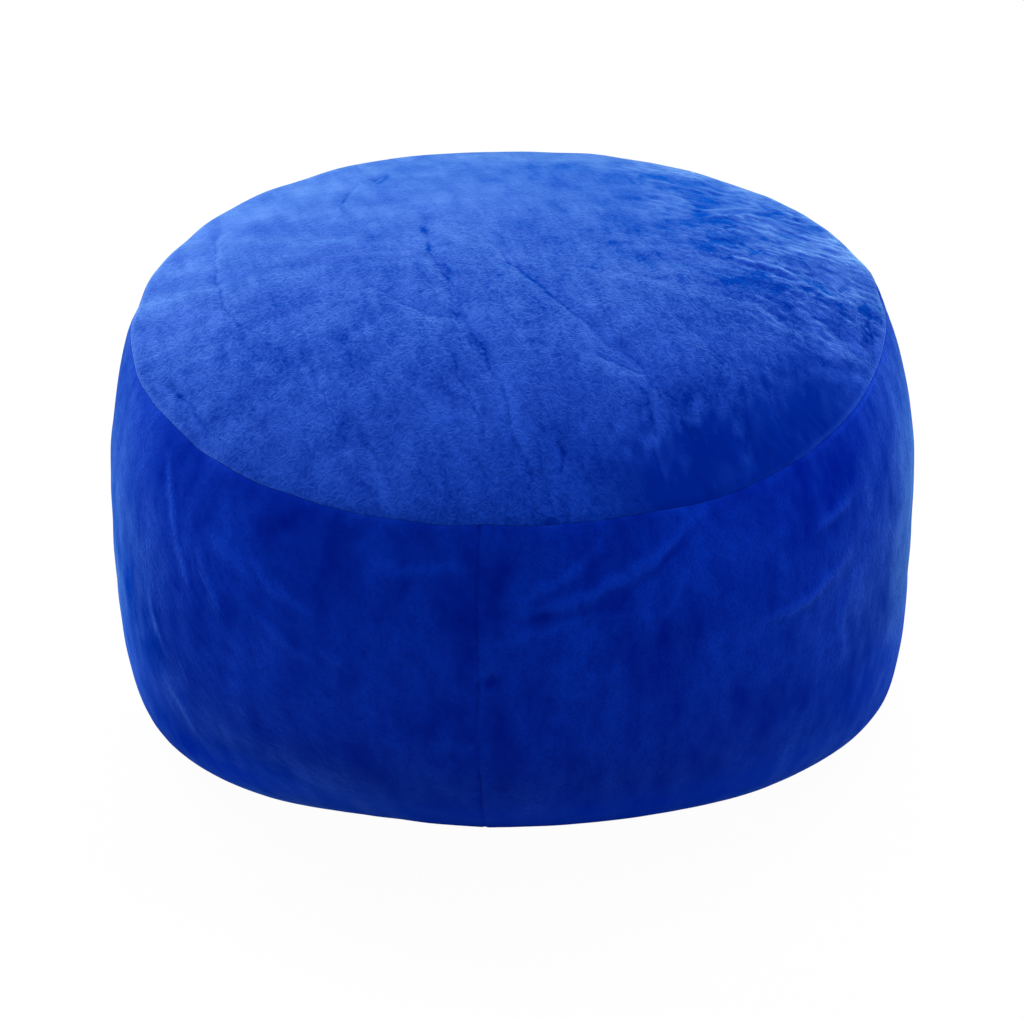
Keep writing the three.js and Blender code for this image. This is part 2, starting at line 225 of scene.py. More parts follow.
# The same on the side band, partly for how the pile lies and partly painted light and shade: the lighter
# edges at left and right are painted highlights, and the darker foot, the darker low places and the strips
# under the top seam are painted shade. Azimuth from the front in degrees, height
BAND_PATCHES = {
    #                       az    up   long  wide  turn  strength
    "under the left seam": (-36, 285, 150, 16, 0, -0.30),
    "under the right seam": (45, 288, 110, 24, 0, -0.24),
    "left, low": (-60, 110, 60, 44, 90, -0.40),
    "left edge": (-88, 190, 40, 110, 0, 0.30),
    "foot, left": (-30, 50, 170, 26, 0, -0.30),
    "foot, right": (12, 42, 130, 24, 0, -0.30),
    "by the upright seam": (1, 240, 38, 28, 60, 0.32),
    "below it": (9, 190, 34, 22, 20, 0.26),
    "beside it, high": (-4, 229, 8, 10, 0, 0.22),
    "beside it, low": (-6, 132, 4, 14, 0, 0.30),
    "left, wrinkled": (-36, 222, 70, 24, -40, 0.20),
    "left, middle": (-41, 110, 45, 38, 0, -0.18),
    "right, high": (54, 245, 60, 40, 0, -0.27),
    "right, low": (32, 100, 70, 60, 0, -0.19),
    "right, lowest": (60, 85, 60, 46, 0, -0.36),
    "right, flecked": (54, 170, 36, 60, 0, 0.16),
    "right edge": (74, 160, 34, 120, 0, 0.60),
}

# Bells round the bag, each with its azimuth, how far it spreads in degrees, and its height: where the
# cloth is eased into the top seam, where a highlight is painted along the top's rim, and where the sides'
# pile is pressed flat low down
EASED = {
    #               azimuth  spread  height
    "front right": (316, 20, 0.22),
    "left": (200, 16, 0.10),
    "rear right": (24, 30, 0.24),
    "front": (262, 26, 0.12),
    "rear": (120, 60, 0.05),
}
PAINTED_RIM_HIGHLIGHT = {
    "left": (200, 42, 1.0),
    "right": (345, 30, 1.0),
    "front right": (336, 13, 0.9),
}
FLATTENED_SIDES = {
    "right": (350, 28, 0.45),
    "left": (190, 28, 0.30),
}

# The puckers' wavelength round the bag, and how far from the seam they are highest
PUCKER_PITCH = 13.0
PUCKER_RISE = 8.0

# Grid of each panel: columns round the bag, and rows from the seam inwards
COLUMNS = 720
SEAM_COLUMNS = 60
SEAM_COLUMNS_SPREAD = 2.6
SEAM_COLUMNS_CLEAR = 0.2
CLOSE_ROWS = 12
CLOSE_REACH = 10.0
TOP_ROWS = 110
BAND_UPPER_ROWS = 46
BAND_LOWER_ROWS = 54
EDGE_ROWS = 7
INNER_SHARES = (0.3, 0.65, 0.9, 0.985)


def around(key, azimuth):
    """A station's value at any azimuth in degrees, by the closed Catmull-Rom curve through all eight."""
    values = np.array(STATIONS[key])
    count = len(values)
    place = np.mod(np.asarray(azimuth, float) / 360.0, 1.0) * count
    index = np.floor(place).astype(int) % count
    f = place - np.floor(place)
    a, b, c, d = (values[(index + step) % count] for step in (-1, 0, 1, 2))
    return b + 0.5 * f * (c - a + f * (2 * a - 5 * b + 4 * c - d + f * (3 * (b - c) + d - a)))


MEAN_SEAM_HEIGHT = float(np.mean(STATIONS["seam_height"]))


def waves(points, wavelength, seed, count=26, spread=0.35):
    """Soft uneven relief of about unit size: the sum of count plane waves over the points, each with a
    random direction and phase, and about as long as the wavelength, given once or for each axis."""
    rng = np.random.default_rng(seed)
    direction = rng.normal(size=(count, points.shape[-1]))
    direction /= np.linalg.norm(direction, axis=1, keepdims=True)
    pitch = 2 * math.pi * np.exp(rng.normal(0.0, spread, count))
    numbers = direction * pitch[:, None] / np.array(wavelength, float)
    phases = rng.uniform(0, 2 * math.pi, count)
    total = np.zeros(points.shape[:-1])
    for number, phase in zip(numbers, phases):
        total += np.cos(points @ number + phase)
    return total / math.sqrt(count / 2)


def smooth(low, high, value):
    """0 at low, 1 at high, and the cubic 3t2 - 2t3 between."""
    t = np.clip((value - low) / (high - low), 0.0, 1.0)
    return t * t * (3 - 2 * t)


def bell(value, width):
    """The bell exp(-(value / width)2)."""
    return np.exp(-(value / width) ** 2)


def degrees_from(place, azimuth):
    """How far round the bag an azimuth lies from a place, from -180 to 180 degrees."""
    return np.mod(azimuth - place + 180.0, 360.0) - 180.0


def bell_round(azimuth, place, spread):
    """A bell of the azimuth round one place, both in degrees."""
    return bell(degrees_from(place, azimuth), spread)


def bells_round(table, azimuth):
    """The sum of a table's bells round the bag."""
    return sum(height * bell_round(azimuth, place, spread) for place, spread, height in table.values())


def ring_points(azimuth, radius, z):
    """Points at an azimuth in degrees, a radius and a height."""
    turn = np.radians(azimuth)
    return np.stack([radius * np.cos(turn), radius * np.sin(turn), z], -1)


def turned_plan(x, y, turn):
    """The plan's coordinates across and along a direction that many degrees from +X."""
    c, s = math.cos(math.radians(turn)), math.sin(math.radians(turn))
    return np.stack([y * c - x * s, x * c + y * s], -1)


def crease(x, y, start, end, bow):
    """Distance across a bowed line from start to end, share of the way along it, and how far past its
    ends. The line is a parabola: 4 * bow * t * (1 - t) to one side of the chord at the share t."""
    chord = np.subtract(end, start).astype(float)
    length = float(np.hypot(*chord))
    ux, uy = chord / length
    raw = ((x - start[0]) * ux + (y - start[1]) * uy) / length
    along = np.clip(raw, 0.0, 1.0)
    across = (y - start[1]) * ux - (x - start[0]) * uy - 4 * bow * along * (1 - along)
    return across, along, (raw - along) * length


def folds(table, x, y, seed, scale_x=1.0, crisp=True):
    """The relief of a table of creases, and the marks of how their pile lies and of the light and shade
    painted along them. Relief: minus the depth, times a bell of the crease's width across the line with a
    bell of CORE_WIDTH inside it, faded by the root of a half sine wave along the line and by a bell past
    its
    ends. Marks: the distance across the nearest line; its parted pile, which is painted as a line of
    shade, the parting * (1 - (distance / LINE_REACH)2)2; and light, a painted highlight along each ridge,
    which is painted shade along the hollows where they aren't crisp. The lines stray from their parabolas
    by soft waves."""
    relief, parting_and_painted_shade, light = np.zeros((3, *x.shape))
    line = np.full_like(x, LINE_REACH)
    plan = np.stack([x, y], -1)
    stray = 1.1 * waves(plan, 48.0, seed) + 0.35 * waves(plan, 14.0, seed + 100)
    for x0, y0, x1, y1, bow, depth, width, part in table.values():
        across, along, past = crease(x, y, (x0 * scale_x, y0), (x1 * scale_x, y1), bow)
        across = across + stray
        fade = np.sqrt(np.sin(math.pi * (0.04 + 0.92 * along))) * bell(past, width)
        trough = (1 - CORE_SHARE) * bell(across, width) + CORE_SHARE * bell(across, CORE_WIDTH)
        relief -= depth * fade * trough
        if part < 0 or not crisp:
            light -= part * fade * bell(across, 0.55 * width)
        else:
            strength = part * fade * np.clip(1 - (across / LINE_REACH) ** 2, 0.0, 1.0) ** 2
            line = np.where(strength > parting_and_painted_shade, across, line)
            parting_and_painted_shade = np.maximum(parting_and_painted_shade, strength)
    return relief, line, parting_and_painted_shade, light


def patches(table, x, y):
    """Places painted lighter or darker, some for how the pile lies and some as painted light and shade:
    bells over ellipses, each strength * exp(-(u2 + v2)) with u and v the shares of its half length and half
    width along and across its turn."""
    total = np.zeros_like(x)
    for px, py, length, width, turn, strength in table.values():
        across, along = np.moveaxis(turned_plan(x - px, y - py, turn), -1, 0)
        total += strength * bell(along, length) * bell(across, width)
    return total


def seam_wander(azimuth):
    """How far the top seam strays from its even line, as (outwards, upwards): slow waves round the bag."""
    ring = ring_points(azimuth, SEAM_RING + 0 * azimuth, 0 * azimuth)[..., :2]
    return 0.6 * waves(ring, 95.0, 11), 0.6 * waves(ring, 80.0, 12)


def seam_radius(azimuth):
    return around("seam", azimuth) - NOTCH_DEPTH + seam_wander(azimuth)[0]


def seam_level(azimuth):
    return around("seam_height", azimuth) - NOTCH_DEPTH + seam_wander(azimuth)[1]


def dip(distance):
    """The cloth's rise out of the top seam: NOTCH_DEPTH * (1 - exp(-distance / NOTCH_REACH))."""
    return NOTCH_DEPTH * (1 - np.exp(-distance / NOTCH_REACH))


def inner_level(azimuth, share):
    """The hidden face under the top panel: a dish from the seam to the seam's mean height in the middle."""
    return seam_level(azimuth) * share ** 2 + (MEAN_SEAM_HEIGHT - NOTCH_DEPTH) * (1 - share ** 2)


def gathers(azimuth, distance, seed):
    """Small puckers where the cloth is eased into the seam: waves round the bag that rise and fade from the
    seam by t * exp(1 - t), with t the distance over PUCKER_RISE."""
    flat = np.stack([np.radians(azimuth) * SEAM_RING, distance], -1)
    t = distance / PUCKER_RISE
    puckers = waves(flat, (PUCKER_PITCH, 60.0), seed, spread=0.3)
    return bells_round(EASED, azimuth) * t * np.exp(1 - t) * puckers


def rear_ripples(x, y):
    """Low ripples on the rear right that run down to the right: how rippled the cloth is, from 0 to 1,
    their wave broken up by a slower one, and their relief, which has a finer wave on it."""
    rippled = smooth(100.0, 215.0, x + 0.25 * y) * smooth(-150.0, -60.0, y)
    down_right = turned_plan(x, y, -33.0)
    broken = smooth(-0.6, 1.2, waves(np.stack([x, y], -1), 34.0, 29))
    ripple = waves(down_right, (14.0, 22.0), 24, spread=0.3) * broken
    relief = rippled * (0.38 * ripple + 0.12 * waves(down_right, (8.0, 16.0), 28))
    return rippled, ripple, relief


def top_pile_and_painted_light(azimuth, x, y, inside, rippled, ripple):
    """How the top's pile lies, and the light and shade painted on it. The brushed mark: the patches, partly
    painted light and shade, and the dents, painted shade and highlights, whose edges soft waves warp, faint
    strokes, the ripples with painted light and shade on them, a painted highlight along the rim, fine
    streaks at the front right, and the painted shade at the front right, whose edge they break up. Curly:
    how strong the fine curls are, less towards the rear and none in the painted shade."""
    plan = np.stack([x, y], -1)
    warp_x, warp_y = (9.0 * waves(plan, 42.0, seed) for seed in (41, 42))
    # Patches, partly painted light and shade, and dents painted with shade and highlights
    brushed_and_painted_light = patches(TOP_PATCHES, x + warp_x, y + warp_y)
    brushed_and_painted_light = brushed_and_painted_light + patches(TOP_DENT_SHADE_AND_HIGHLIGHT, x + 0.2 * warp_x, y + 0.2 * warp_y)
    lengthways = waves(turned_plan(x, y, -78.0), (20.0, 60.0), 27)
    brushed_and_painted_light = brushed_and_painted_light + 0.05 * waves(plan, 80.0, 26) + 0.05 * lengthways * (1 - rippled)
    # Painted light and shade on the ripples
    brushed_and_painted_light = brushed_and_painted_light + 0.10 * rippled * ripple
    # A painted highlight along the rim
    brushed_and_painted_light = brushed_and_painted_light + 0.42 * bell(inside, 2.2) * bells_round(PAINTED_RIM_HIGHLIGHT, azimuth)
    streaks = waves(turned_plan(x, y, -86.0), (9.0, 45.0), 43)
    brushed_and_painted_light = brushed_and_painted_light + 0.02 * streaks * smooth(150.0, 70.0, inside) * smooth(0.0, 90.0, x - 0.2 * y)
    # Painted shade at the front right, with a streaky edge
    from_seam = inside + 4.0 * streaks + 9.0 * waves(plan, 26.0, 44)
    fore = smooth(0.1, 0.75, bell_round(azimuth, FRONT_SHADOW["azimuth"], FRONT_SHADOW["spread"]))
    shadow = fore * smooth(FRONT_SHADOW["gone"], FRONT_SHADOW["full"], from_seam)
    curly = (1 - shadow) * (1.2 - 0.85 * smooth(-120.0, 200.0, y))
    return brushed_and_painted_light - FRONT_SHADOW["strength"] * shadow, curly


def top_panel_surface(azimuth, share):
    """The crown: the dish level plus CROWN_RISE * (1 - share ** shoulder) plus the rise from the seam,
    then creases, soft unevenness, a low hump at the rear and ripples, all fading to nothing at the seam,
    and the seam's gathers. With it go the marks of its pile and of the light and shade painted on it."""
    x, y = np.moveaxis(ring_points(azimuth, seam_radius(azimuth) * share, share)[..., :2], -1, 0)
    inside = seam_radius(azimuth) * (1 - share)
    relief, line, parting_and_painted_shade, light = folds(TOP_FOLDS, x, y, 21)
    rippled, ripple, ripple_relief = rear_ripples(x, y)
    plan = np.stack([x, y], -1)
    lumps = 0.45 * waves(plan, 150.0, 22) + 0.12 * waves(plan, 45.0, 23)
    from_hump = np.hypot(x - REAR_HUMP["x"], y - REAR_HUMP["y"])
    hump = REAR_HUMP["height"] * bell(from_hump, REAR_HUMP["reach"])
    z = inner_level(azimuth, share) + CROWN_RISE * (1 - share ** around("shoulder", azimuth)) + dip(inside)
    z = z + smooth(0.0, SETTLED_REACH, inside) * (relief + lumps + hump + ripple_relief)
    z = z + gathers(azimuth, inside, 25)
    brushed_and_painted_light, curly = top_pile_and_painted_light(azimuth, x, y, inside, rippled, ripple)
    marks = {"line": line, "parting_and_painted_shade": parting_and_painted_shade, "turned": rippled, "curly": curly, "flattened": 0 * x}
    # Painted highlights along the ridges
    marks["brushed_and_painted_light"] = brushed_and_painted_light + 0.55 * light
    return np.stack([x, y, z], -1), marks


def band_profile(azimuth, z):
    """The side band's radius at a height, before its creases. Below the belly: floor plus the difference
    to the belly times the upper arm of a superellipse of power heel. Above it: belly minus the difference
    to the seam times the height share to the power UPPER_ROUNDNESS. The dip into the top seam comes off
    near it."""
    floor, belly, heel = around("floor", azimuth), around("belly", azimuth), around("heel", azimuth)
    top = seam_level(azimuth)
    low = 1 - np.clip(z / BELLY_HEIGHT, 0.0, 1.0)
    up = np.clip((z - BELLY_HEIGHT) / (top - BELLY_HEIGHT), 0.0, 1.0)
    lower = floor + (belly - floor) * (1 - low ** heel) ** (1 / heel)
    upper = belly - (belly - around("seam", azimuth)) * up ** UPPER_ROUNDNESS
    wander = seam_wander(azimuth)[0] * smooth(0.6, 1.0, up)
    return np.where(z < BELLY_HEIGHT, lower, upper) + wander + dip(np.maximum(top - z, 0.0)) - NOTCH_DEPTH


def upright_seam(azimuth, z, belly):
    """The upright seam: the distance across its slightly wavy line, how strong it is along it, and its
    groove, a bell of the distance across, which ends at the floor."""
    across = np.radians(degrees_from(UPRIGHT_SEAM["azimuth"], azimuth)) * belly + 0.5 * np.sin(z / 17.0)
    uneven = 0.7 + 0.3 * np.sin(z / 11.0 + 1.3 * np.sin(z / 29.0))
    groove = UPRIGHT_SEAM["depth"] * uneven * bell(across, UPRIGHT_SEAM["width"])
    return across, uneven, groove * smooth(0.0, 6.0, z)


def band_pile_and_painted_light(azimuth, arc, solid, below):
    """The band's brushed mark: the patches, partly painted light and shade, whose edges soft waves warp, a
    mottle in three sizes, and a painted highlight just under the top seam at the front right."""
    warp_x, warp_z = (9.0 * waves(solid, 45.0, seed) for seed in (46, 47))
    placed = {name: (row[0] * PER_DEGREE, *row[1:]) for name, row in BAND_PATCHES.items()}
    # Patches, partly painted light and shade
    brushed_and_painted_light = patches(placed, arc + warp_x, solid[..., 2] + warp_z)
    upright = solid * np.array([1.0, 1.0, 0.3])
    mottle = 0.08 * waves(solid, 90.0, 36) + 0.07 * waves(upright, 24.0, 37) + 0.04 * waves(solid, 22.0, 38)
    # A painted highlight just under the top seam at the front right
    return brushed_and_painted_light + mottle + 0.40 * bell(below - 2.2, 1.5) * bell_round(azimuth, 336.0, 13.0)


def flattened_pile(azimuth, z):
    """How flattened the pile is low on the band: most at the front, least at the rear, and to a greater
    height at the sides."""
    foot = smooth(92.0, 24.0, z) * (0.10 + 0.90 * bell_round(azimuth, FRONT, 52.0))
    return np.maximum(foot, smooth(150.0, 60.0, z) * bells_round(FLATTENED_SIDES, azimuth))


def side_band_surface(azimuth, z):
    """The side band: band_profile plus creases, soft unevenness, a flat place on the right and the
    cloth's pull beside the upright seam, all fading to nothing at both ends, then gathers under the top
    seam, less the upright seam's groove. With it go the marks of its pile and of the light and shade
    painted on it."""
    belly = around("belly", azimuth)
    arc = degrees_from(FRONT, azimuth) * PER_DEGREE
    below = np.maximum(seam_level(azimuth) - z, 0.0)
    relief, line, parting_and_painted_shade, light = folds(BAND_FOLDS, arc, z, 31, PER_DEGREE, crisp=False)
    solid = ring_points(azimuth, belly, z)
    lumps = 0.4 * waves(solid, 150.0, 32) + 0.2 * waves(solid, 45.0, 33)
    flat_place = FLAT_PLACE["depth"] * bell(z - FLAT_PLACE["z"], FLAT_PLACE["reach"])
    flat_place = flat_place * bell_round(azimuth, FLAT_PLACE["azimuth"], FLAT_PLACE["spread"])
    across, uneven, groove = upright_seam(azimuth, z, belly)
    pulled = 0.35 * waves(np.stack([arc, z], -1), (60.0, 13.0), 34) * bell(across, UPRIGHT_SEAM["reach"])
    settled = smooth(0.0, SETTLED_REACH, below) * smooth(2.0, 20.0, z)
    radius = band_profile(azimuth, z) + settled * (relief + lumps - flat_place + pulled)
    radius = radius + gathers(azimuth, below, 35) - groove
    near_seam = np.abs(across) < LINE_REACH
    # The pile parted along the upright seam, with a dark line of painted shade along it
    seam_parting_and_painted_shade = 0.66 * uneven * (1 - (across / LINE_REACH) ** 2) ** 2
    # Painted highlights along the ridges and painted shade along the hollows
    brushed_and_painted_light = band_pile_and_painted_light(azimuth, arc, solid, below) + 1.1 * light
    marks = {
        "line": np.where(near_seam, across, line),
        "parting_and_painted_shade": np.where(near_seam, seam_parting_and_painted_shade, parting_and_painted_shade),
        "brushed_and_painted_light": brushed_and_painted_light,
        "turned": bell_round(azimuth, 226.0, 22.0),
        "curly": np.clip(0.55 + 1.2 * brushed_and_painted_light, 0.2, 1.2),
        "flattened": flattened_pile(azimuth, z),
    }
    return ring_points(azimuth, radius, z), marks


def new_piece(name, points, faces, marks):
    """A mesh object in metres from points in millimetres, quads and triangles, with one number per point
    for each of the marks."""
    mesh = bpy.data.meshes.new(name)
    corners = np.concatenate([np.asarray(f).ravel() for f in faces])
    sizes = np.concatenate([np.full(len(f), f.shape[1]) for f in faces])
    mesh.vertices.add(len(points))
    mesh.vertices.foreach_set("co", (points * MM).astype(np.float32).ravel())
    mesh.loops.add(len(corners))
    mesh.loops.foreach_set("vertex_index", corners.astype(np.int32))
    mesh.polygons.add(len(sizes))
    mesh.polygons.foreach_set("loop_start", np.concatenate([[0], np.cumsum(sizes)[:-1]]).astype(np.int32))
    mesh.update(calc_edges=True)
    mesh.validate()
    mesh.polygons.foreach_set("use_smooth", np.ones(len(sizes), bool))
    for mark, values in marks.items():
        attribute = mesh.attributes.new(mark, "FLOAT", "POINT")
        attribute.data.foreach_set("value", values.astype(np.float32))
    piece = bpy.data.objects.new(name, mesh)
    bpy.context.scene.collection.objects.link(piece)
    return piece


def closed_rings(rings):
    """Faces of a closed body: rings of points from a lower pole out, up and in to an upper pole, which
    are the first and last points. Rings are joined by quads, and each end ring to its pole by triangles."""
    rows, columns = rings.shape[:2]
    ring = 1 + np.arange(rows * columns).reshape(rows, columns)
    after = np.roll(ring, -1, axis=1)
    quads = np.stack([ring[:-1], after[:-1], after[1:], ring[1:]], -1).reshape(-1, 4)
    last = np.full(columns, rows * columns + 1)
    lower = np.stack([np.zeros(columns, int), after[0], ring[0]], -1)
    upper = np.stack([last, ring[-1], after[-1]], -1)
    return [quads, lower, upper]


def closed_piece(name, rings, marks):
    """A closed body from rings of points, with a pole at the middle of its first ring and of its last."""
    points = np.concatenate([rings[0].mean(0)[None], rings.reshape(-1, 3), rings[-1].mean(0)[None]])
    padded = {}
    for mark, values in marks.items():
        padded[mark] = np.concatenate([[values[0].mean()], values.ravel(), [values[-1].mean()]])
    return new_piece(name, points, closed_rings(rings), padded)


def even_columns(count):
    return np.arange(count) * 360.0 / count


def seam_columns():
    """Even columns with a close set of them at the upright seam."""
    even = even_columns(COLUMNS - SEAM_COLUMNS)
    near = UPRIGHT_SEAM["azimuth"] + np.linspace(-SEAM_COLUMNS_SPREAD, SEAM_COLUMNS_SPREAD, SEAM_COLUMNS)
    clear = even[np.abs(even - UPRIGHT_SEAM["azimuth"]) > SEAM_COLUMNS_SPREAD + SEAM_COLUMNS_CLEAR]
    return np.sort(np.concatenate([clear, near]))


def close_rows():
    """Distances from a seam over the first stretch, closest at the seam."""
    return CLOSE_REACH * np.linspace(0.0, 1.0, CLOSE_ROWS + 1)[1:] ** 1.3


def dish_rings(azimuth, offset):
    """Rings of the hidden face between the top panel and the filling below, from the middle outwards."""
    shares = np.array(INNER_SHARES)[:, None] + 0 * azimuth
    return ring_points(azimuth, seam_radius(azimuth) * shares, inner_level(azimuth, shares) + offset)


def with_blanks(marks, before, after):
    """The marks of a panel's outer rows, with zeros for the hidden rows before and after them."""
    return {name: np.pad(values, ((before, after), (0, 0))) for name, values in marks.items()}


def make_top_panel():
    azimuth = even_columns(COLUMNS)
    inwards = np.linspace(CLOSE_REACH, TOP_RADIUS, TOP_ROWS + 1)[1:-1]
    shares = 1 - np.concatenate([[0.0], close_rows(), inwards])[:, None] / TOP_RADIUS + 0 * azimuth
    outer, marks = top_panel_surface(azimuth + 0 * shares, shares)
    outer[0, :, 2] += SEAM_GAP / 2
    inner = dish_rings(azimuth, SEAM_GAP / 2)
    rings = np.concatenate([inner, outer])
    return closed_piece("top_plush_panel", rings, with_blanks(marks, len(inner), 0))


def make_side_band():
    azimuth = seam_columns()
    bottom = CLOTH + SEAM_GAP
    turn = np.linspace(math.acos(1 - bottom / BELLY_HEIGHT), math.pi / 2, BAND_LOWER_ROWS + 1)[:-1, None]
    lower = BELLY_HEIGHT * (1 - np.cos(turn)) + 0 * azimuth
    reach = seam_level(azimuth) - CLOSE_REACH - BELLY_HEIGHT
    upper = BELLY_HEIGHT + reach * np.linspace(0.0, 1.0, BAND_UPPER_ROWS + 1)[:-1, None]
    close = seam_level(azimuth) - np.concatenate([close_rows()[::-1], [0.0]])[:, None]
    z = np.concatenate([lower, upper, close])
    outer, marks = side_band_surface(azimuth + 0 * z, z)
    outer[-1, :, 2] -= SEAM_GAP / 2
    foot = outer[0][None] * np.array([[[1.0, 1.0, 0.0]]]) * np.array(INNER_SHARES)[:, None, None]
    foot[..., 2] = bottom
    inner = dish_rings(azimuth, -SEAM_GAP / 2)[::-1]
    rings = np.concatenate([foot, outer, inner])
    return closed_piece("side_plush_band", rings, with_blanks(marks, len(foot), len(inner)))


def base_outline(azimuth):
    """The base panel's radius: just inside the band's foot."""
    return band_profile(azimuth, np.full_like(azimuth, CLOTH + SEAM_GAP)) - CLOTH


def base_cut():
    """The base panel's cut in metres: its width, its length, and its area, which is half the integral of
    the squared radius round it."""
    azimuth = even_columns(COLUMNS)
    edge = base_outline(azimuth) * MM
    width, length = np.ptp(ring_points(azimuth, edge, 0 * edge), axis=0)[:2]
    return float(width), float(length), float(math.pi * np.mean(edge ** 2))


def make_base_panel():
    """A flat cloth disc with a half-round edge, which is marked for the painted shade under the band."""
    azimuth = even_columns(COLUMNS)
    edge = base_outline(azimuth)
    half = CLOTH / 2
    inner_shares = (0.25, 0.5, 0.75, 0.95)
    section = [(share, 0.0, 0.0) for share in inner_shares]
    for turn in np.linspace(-math.pi / 2, math.pi / 2, EDGE_ROWS):
        section.append((1.0, half * (math.cos(turn) - 1), half * (1 + math.sin(turn))))
    section += [(share, 0.0, CLOTH) for share in reversed(inner_shares)]
    rings = [ring_points(azimuth, edge * share + out, height + 0 * edge) for share, out, height in section]
    at_edge = np.array([share == 1.0 for share, out, height in section], float)
    return closed_piece("base_cloth_panel", np.array(rings), {"edge": at_edge[:, None] + 0 * azimuth})


class Value:
    """A shader socket that Python's arithmetic works on: each sum or product adds its Math node."""

    def __init__(self, shader, socket):
        self.shader = shader
        self.socket = socket

    def maths(self, operation, *values):
        inputs = dict(enumerate(values))
        return self.shader.add("ShaderNodeMath", {"operation": operation}, inputs)

    def __add__(self, other):
        return self.maths("ADD", self, other)

    __radd__ = __add__

    def __sub__(self, other):
        return self.maths("SUBTRACT", self, other)

    def __rsub__(self, other):
        return self.maths("SUBTRACT", other, self)

    def __mul__(self, other):
        return self.maths("MULTIPLY", self, other)

    __rmul__ = __mul__

    def __pow__(self, other):
        return self.maths("POWER", self, other)

    def __truediv__(self, other):
        return self.maths("DIVIDE", self, other)

    def size(self):
        return self.maths("ABSOLUTE", self)

    def clamped(self):
        return self.shader.add("ShaderNodeClamp", {}, {"Value": self})

    def thin_lines(self, sharpness):
        """1 where a noise crosses its middle, falling to 0 on both sides by the sharpness."""
        return (1 - (self - 0.5).size() * sharpness).clamped()


class Shader:
    """A material's node tree."""

    def __init__(self, name):
        self.material = bpy.data.materials.new(name)
        self.material.use_nodes = True
        self.tree = self.material.node_tree
        self.tree.nodes.clear()

    def add(self, kind, settings, inputs, output=0):
        """A node of that kind: its settings first, then its sockets' values or links. Gives one output."""
        node = self.tree.nodes.new(kind)
        for key, setting in settings.items():
            setattr(node, key, setting)
        for key, value in inputs.items():
            if isinstance(value, Value):
                self.tree.links.new(value.socket, node.inputs[key])
            else:
                node.inputs[key].default_value = value
        return Value(self, node.outputs[output])

    def blend(self, factor, low, high):
        """A colour between two, by a Mix node."""
        return self.add("ShaderNodeMix", {"data_type": "RGBA"}, {0: factor, 6: low, 7: high}, 2)

    def noise(self, place, scale, detail=2.0, roughness=0.5, distortion=0.0):
        inputs = {"Vector": place, "Scale": scale, "Detail": detail}
        inputs.update({"Roughness": roughness, "Distortion": distortion})
        return self.add("ShaderNodeTexNoise", {}, inputs)

    def threads(self, place, direction, pitch):
        """Sine waves across a direction, a little uneven."""
        inputs = {"Vector": place, "Scale": pitch, "Distortion": 0.4}
        return self.add("ShaderNodeTexWave", {"bands_direction": direction}, inputs)

    def stretched(self, place, turn, scale):
        """The place in a frame turned by Euler angles in degrees, with its axes drawn out by the scale."""
        inputs = {"Vector": place, "Rotation": tuple(math.radians(angle) for angle in turn), "Scale": scale}
        return self.add("ShaderNodeMapping", {"vector_type": "TEXTURE"}, inputs)

    def bump(self, strength, distance, height):
        inputs = {"Strength": strength, "Distance": distance, "Height": height}
        return self.add("ShaderNodeBump", {}, inputs)

    def mix(self, factor, first, second):
        return self.add("ShaderNodeMixShader", {}, {0: factor, 1: first, 2: second})

    def mark(self, name):
        return self.add("ShaderNodeAttribute", {"attribute_name": name}, {}, 2)

    def object_place(self):
        return self.add("ShaderNodeTexCoord", {}, {}, 3)

    def finish(self, surface):
        output = self.tree.nodes.new("ShaderNodeOutputMaterial")
        self.tree.links.new(surface.socket, output.inputs["Surface"])
        return self.material


# Noise and wave scales of the cloths, per metre, and the height of the plush's relief in metres
STROKES_SCALE = 150.0
GRAIN_SCALE = 250.0
CURLS_SCALE = 175.0
CRESTS_SCALE = 58.0
THREADS_SCALE = 320.0
PILE_LENGTH = 0.0016

# The base cloth's colour between its threads, on them, and its painted shade along the edge under the band
BASE_HOLLOW = (0.003, 0.020, 0.19, 1.0)
BASE_THREAD = (0.006, 0.045, 0.33, 1.0)
BASE_EDGE_SHADE = (0.001, 0.002, 0.03, 1.0)

# The floor's half width and level in millimetres, and how much of a shadow shows on it
FLOOR_REACH = 20000.0
FLOOR_LEVEL = -0.5
FLOOR_SHADOW = 0.03


def pile(s, colour, sheen, normal):
    """A matt cloth that takes its light rim from the sheen."""
    return s.add("ShaderNodeBsdfPrincipled", {}, {
        "Base Color": (*colour, 1.0),
        "Roughness": 0.9,
        "Specular IOR Level": 0.0,
        "Sheen Weight": 1.0,
        "Sheen Roughness": 0.4,
        "Sheen Tint": (*sheen, 1.0),
        "Normal": normal,
    })


def parted_pile_shade_and_highlight(s, place):
    """The pile along a crease, partly parted and partly painted: a thin dark line of painted shade, broken
    up by noise, and a painted highlight 4 mm beside it.
    """
    parting_and_painted_shade = s.mark("parting_and_painted_shade")
    line = s.mark("line") + (s.noise(place, 110.0, 3.0, 0.7) - 0.5) * 4.0
    uneven = (s.noise(place, 75.0, 3.0, 0.6) * 3.6 - 1.15).clamped()
    dark = (1 - line.size() / 3.0).clamped() ** 1.5 * uneven * parting_and_painted_shade
    light = (1 - (line - 4.0).size() / 2.8).clamped() * parting_and_painted_shade
    return dark, light


